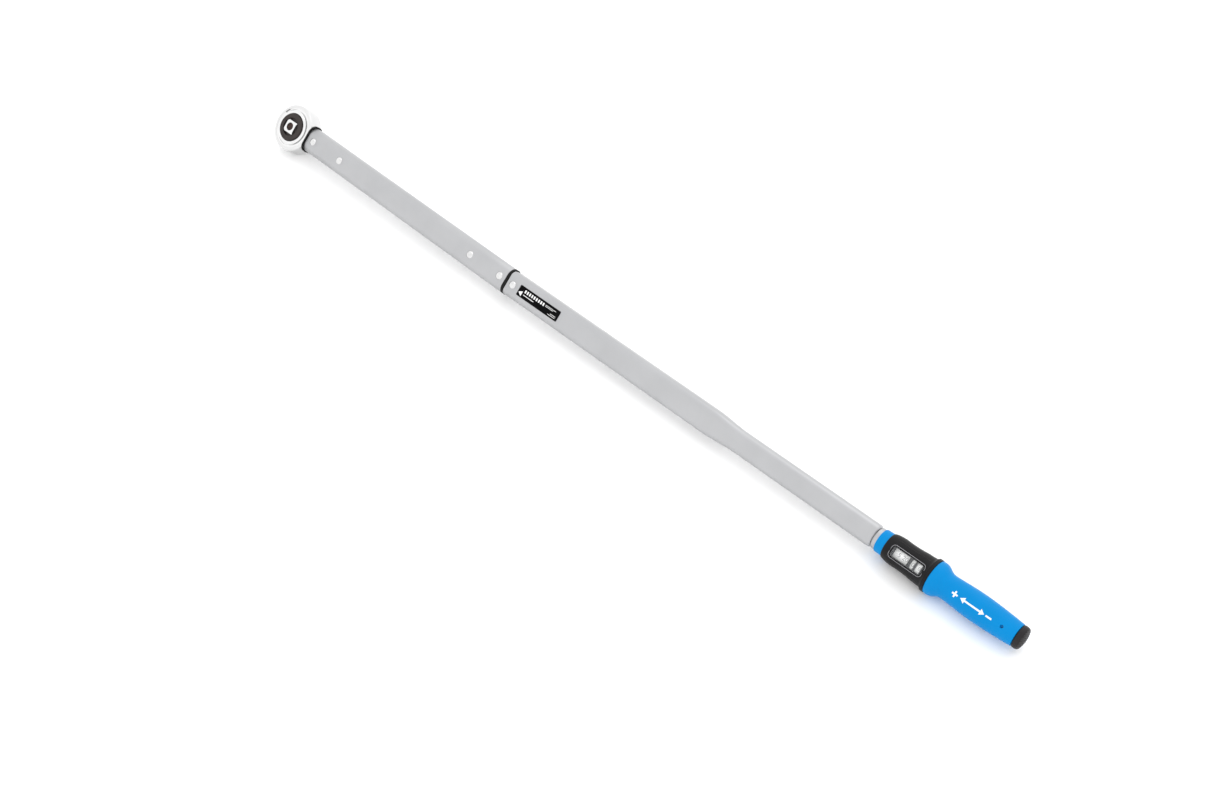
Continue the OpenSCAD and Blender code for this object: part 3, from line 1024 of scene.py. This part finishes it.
@dataclass(frozen=True)
class ScaleMarks:
    """Numbers on the sleeve and on the two drums behind the windows."""

    sleeve_marks: tuple[tuple[str, float], ...] = (("15", 1161.5), ("20", 1171.5))
    sleeve_r: float = 14.5
    sleeve_height: float = 5.6
    tens_x: float = 1183.6
    tens_r: float = 16.6
    tens_height: float = 5.2
    unit_x: float = 1192.6
    unit_r: float = 16.35
    unit_height: float = 4.6
    digits: str = "0123456789"

    def build(self, paint: Paintbox) -> None:
        """Makes the three sets of numbers.

        Args:
            paint: where the finishes come from.
        """
        axes, ink = tool_axes(Place.REAR), paint.get(Look.DIGIT_INK)
        sleeve = [(text, x, 0.0) for text, x in self.sleeve_marks]
        sets = (
            ("scale_numbers", "scale", sleeve, self.sleeve_height, self.sleeve_r),
            ("tens_numbers", "tens", self._around(self.tens_x, self.tens_r), self.tens_height, self.tens_r),
            ("unit_numbers", "grip", self._around(self.unit_x, self.unit_r), self.unit_height, self.unit_r),
        )
        for name, body, marks, height, radius in sets:
            points, faces = lettering_on_drum(marks, height, radius)
            new_piece(name, axes.place(points), faces, ink, body)

    def _around(self, x: float, radius: float) -> list[tuple[str, float, float]]:
        """Spreads the ten digits evenly round a drum."""
        step = 2 * math.pi * radius / len(self.digits)
        return [(digit, x, i * step) for i, digit in enumerate(self.digits)]


@dataclass(frozen=True)
class RatingPrint:
    """Plain white lines and a pointer on the black label.

    A rule is given by its lowest (along, across) corner and its size.
    """

    face: float = 12.8
    sink: float = 0.05
    pointer: tuple[tuple[float, float], ...] = ((504.0, -2.6), (510.0, -6.4), (510.0, 1.2), (504.0, -2.0))
    block_start: float = 513.0
    block_pitch: float = 4.4
    block_count: int = 9
    block_low: float = 0.6
    block_size: tuple[float, float] = (2.4, 4.4)
    rules: tuple[tuple[float, float, float, float], ...] = (
        (513.0, -3.2, 20.0, 0.9), (553.0, 3.6, 20.0, 0.6), (553.0, 1.8, 15.0, 0.6), (566.0, -3.2, 10.0, 0.6),
        (562.0, -5.4, 14.0, 0.6),
    )

    def build(self, paint: Paintbox) -> bpy.types.Object:
        """Makes the print: a pointer, a row of short blocks, and thin rules beside and under it.

        Args:
            paint: where the finishes come from.

        Returns:
            The print.
        """
        blocks = [bar_corners(self.block_start + self.block_pitch * i, self.block_low, *self.block_size)
                  for i in range(self.block_count)]
        corners = np.array([self.pointer, *blocks, *(bar_corners(*rule) for rule in self.rules)])
        points = plate_points(corners, self.face - self.sink, self.face + INK_LIFT)
        points = tool_axes(Place.REAR).place(points)
        return new_piece("rating_print", points, plate_faces(len(corners)), paint.get(Look.WHITE_INK),
                         "main")


@dataclass(frozen=True)
class TurnMarks:
    """Plain white marks on the grip: a plus, an arrow both ways and a minus, as stencilled shapes."""

    plus_x: float = 1245.0
    arrow_x: float = 1270.0
    minus_x: float = 1293.0
    arm: float = 4.0
    half_bar: float = 1.1
    half_shaft: float = 11.0
    half_arrow: float = 17.0
    lift: float = 0.05
    sink: float = 0.15
    steps: int = 12

    def _outlines(self) -> np.ndarray:
        """Lays out the shapes: five bars and two arrow heads.

        Returns:
            Four (along, across) corners per shape, near pair first and then far pair.
        """
        plus, arrow, minus, arm, bar = self.plus_x, self.arrow_x, self.minus_x, self.arm, self.half_bar
        bars = [(plus - arm, plus + arm, -bar, bar), (plus - bar, plus + bar, bar, arm),
                (plus - bar, plus + bar, -arm, -bar),
                (arrow - self.half_shaft, arrow + self.half_shaft, -bar, bar),
                (minus - arm, minus + arm, -bar, bar)]
        shapes = [[[a, c], [a, d], [b, c], [b, d]] for a, b, c, d in bars]
        tip, neck = arrow - self.half_arrow, arrow - self.half_shaft
        shapes.append([[tip, 0.0], [tip, 0.0], [neck, -arm], [neck, arm]])
        tip, neck = arrow + self.half_arrow, arrow + self.half_shaft
        shapes.append([[neck, -arm], [neck, arm], [tip, 0.0], [tip, 0.0]])
        return np.array(shapes, float)

    def build(self, paint: Paintbox) -> bpy.types.Object:
        """Makes the marks.

        Each outline is filled by straight lines between its pairs of corners, carried round the grip as
        arc length over radius, and closed into a thin shell.

        Args:
            paint: where the finishes come from.

        Returns:
            The marks as one piece.
        """
        outline = grip_curve()
        t = np.linspace(0.0, 1.0, self.steps + 1)
        grids = []
        for near_a, near_b, far_a, far_b in self._outlines():
            a = near_a + (far_a - near_a) * t[:, None]
            b = near_b + (far_b - near_b) * t[:, None]
            sheet = a[:, None] + (b - a)[:, None] * t[None, :, None]
            radius = np.interp(sheet[..., 0], outline[:, 0], outline[:, 1])
            angle = sheet[..., 1] / radius
            shells = [np.stack([sheet[..., 0], (radius + h) * np.sin(angle), (radius + h) * np.cos(angle)],
                               -1) for h in (self.lift, -self.sink)]
            shell = np.concatenate([shells[0], shells[1][:, ::-1]], 1)
            middle = (shells[0] + shells[1]) / 2
            edge = np.concatenate([middle, middle[:, ::-1]], 1)
            grids.append(np.concatenate([edge[:1], shell, edge[-1:]]))
        faces = copied_quads(*grids[0].shape[:2], copies=len(grids))
        return new_piece("turn_marks", tool_axes(Place.REAR).place(np.stack(grids)), faces,
                         paint.get(Look.WHITE_INK), "grip")


# ---------- Studio ----------


FLOOR_FINISH = Finish((0.985, 0.985, 0.985), (0.975, 0.975, 0.975), (0.9, 0.95), specular=0.05,
                      drift_size=1.0, grain_height_mm=0.0)


@dataclass(frozen=True)
class Studio:
    """Pale floor, one softbox, an evenly lit room and the camera. Places are in metres in the row frame."""

    floor_size: float = 30.0
    floor_at: tuple[float, float, float] = (0.65, 0.0, -0.0336)
    camera_at: tuple[float, float, float] = (1.68933, -1.14233, 1.52350)
    aim_at: tuple[float, float, float] = (0.73997, -0.08368, 0.0)
    roll_deg: float = 2.226
    lens_mm: float = 47.163
    sensor_mm: float = 36.0
    near_m: float = 0.01
    world_strength: float = 1.35
    key_at: tuple[float, float, float] = (0.9, 1.6, 2.0)
    key_aim: tuple[float, float, float] = (0.65, 0.0, 0.0)
    key_size: float = 2.2
    key_watts: float = 8.5

    def floor(self) -> None:
        """Lays the floor: one wide quad in a pale, matt, faintly uneven white."""
        half = self.floor_size / 2
        corners = np.array([[-half, -half, 0], [half, -half, 0], [half, half, 0], [-half, half, 0]])
        mesh = bpy.data.meshes.new("floor")
        mesh.from_pydata((corners + self.floor_at).tolist(), [], [[0, 1, 2, 3]])
        mesh.materials.append(FLOOR_FINISH.build("floor_white"))
        floor = bpy.data.objects.new("floor", mesh)
        bpy.context.scene.collection.objects.link(floor)

    def world(self) -> None:
        """Fills the room with even white light."""
        world = bpy.data.worlds.new("studio")
        world.use_nodes = True
        sky = world.node_tree.nodes["Background"]
        sky.inputs["Color"].default_value = (1.0, 1.0, 1.0, 1.0)
        sky.inputs["Strength"].default_value = self.world_strength
        bpy.context.scene.world = world
        bpy.context.scene.view_settings.view_transform = "Standard"

    @staticmethod
    def softbox(name: str, at: Sequence[float], to: Sequence[float], size: float, watts: float) -> None:
        """Hangs a square softbox.

        Args:
            name: its name.
            at: its place.
            to: the point that it faces.
            size: its side.
            watts: its power.
        """
        data = bpy.data.lights.new(name, "AREA")
        data.size = size
        data.energy = watts
        lamp = bpy.data.objects.new(name, data)
        lamp.location = at
        back = Vector(at) - Vector(to)
        lamp.rotation_euler = back.to_track_quat("Z", "Y").to_euler()
        bpy.context.scene.collection.objects.link(lamp)

    def camera(self) -> None:
        """Sets up the camera: it looks from camera_at to aim_at, turned by the roll about its view."""
        data = bpy.data.cameras.new("camera")
        data.lens = self.lens_mm
        data.sensor_width = self.sensor_mm
        data.clip_start = self.near_m
        camera = bpy.data.objects.new("camera", data)
        back = Vector(self.camera_at) - Vector(self.aim_at)
        look = back.to_track_quat("Z", "Y").to_matrix().to_4x4()
        roll = Matrix.Rotation(math.radians(self.roll_deg), 4, "Z")
        camera.matrix_world = Matrix.Translation(self.camera_at) @ look @ roll
        bpy.context.scene.collection.objects.link(camera)
        bpy.context.scene.camera = camera

    def build(self) -> None:
        """Builds the whole studio."""
        self.floor()
        self.world()
        self.softbox("key_softbox", self.key_at, self.key_aim, self.key_size, self.key_watts)
        self.camera()


SPRINGS = (
    CoilSpring("main_spring", Place.REAR, "main", "nut_slide", keep=0.905, start=(625.3, 0.0, 0.0),
               length=170.5, coil_r=7.4, wire_r=1.9, turns=20),
    CoilSpring("pawl_spring", Place.FRONT, "lever", "pawl_lift", keep=0.72, start=(31.9, -8.0, 0.0),
               length=12.4, coil_r=1.6, wire_r=0.35, turns=7, anchor_at_start=False),
    CoilSpring("button_spring", Place.FRONT, "square", "button_press", keep=0.58, start=(0.0, 0.0, 4.1),
               length=10.0, coil_r=4.55, wire_r=0.4, turns=5, upright=True),
)
RIVETS = (
    DomedRivets("head_rivets", Place.FRONT, "lever", places=(49.0, 111.0), reach=13.0, shank_r=3.5),
    DomedRivets("link_rivets", Place.FRONT, "lever", places=(401.5, 462.5), reach=13.0, shank_r=3.5),
    DomedRivets("pivot_pin", Place.REAR, "main", places=(488.97,), reach=12.5, shank_r=4.0),
)


def main() -> None:
    """Builds the studio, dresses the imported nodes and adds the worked-out pieces."""
    logging.basicConfig(level=logging.INFO, format="%(message)s")
    Studio().build()
    paint = Paintbox(FINISHES)
    paint.dress_nodes(NODE_FINISH)
    for part in (FrontTube(), MainTube(), *SPRINGS, *RIVETS, SoftGrip(), LockCap(), WindowHighlightBead(),
                 HousingRibsAndHighlight(), ScaleMarks(), RatingPrint(), TurnMarks()):
        part.build(paint)
        LOG.info("%s done", type(part).__name__)


if __name__ == "__main__":
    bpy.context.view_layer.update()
    main()
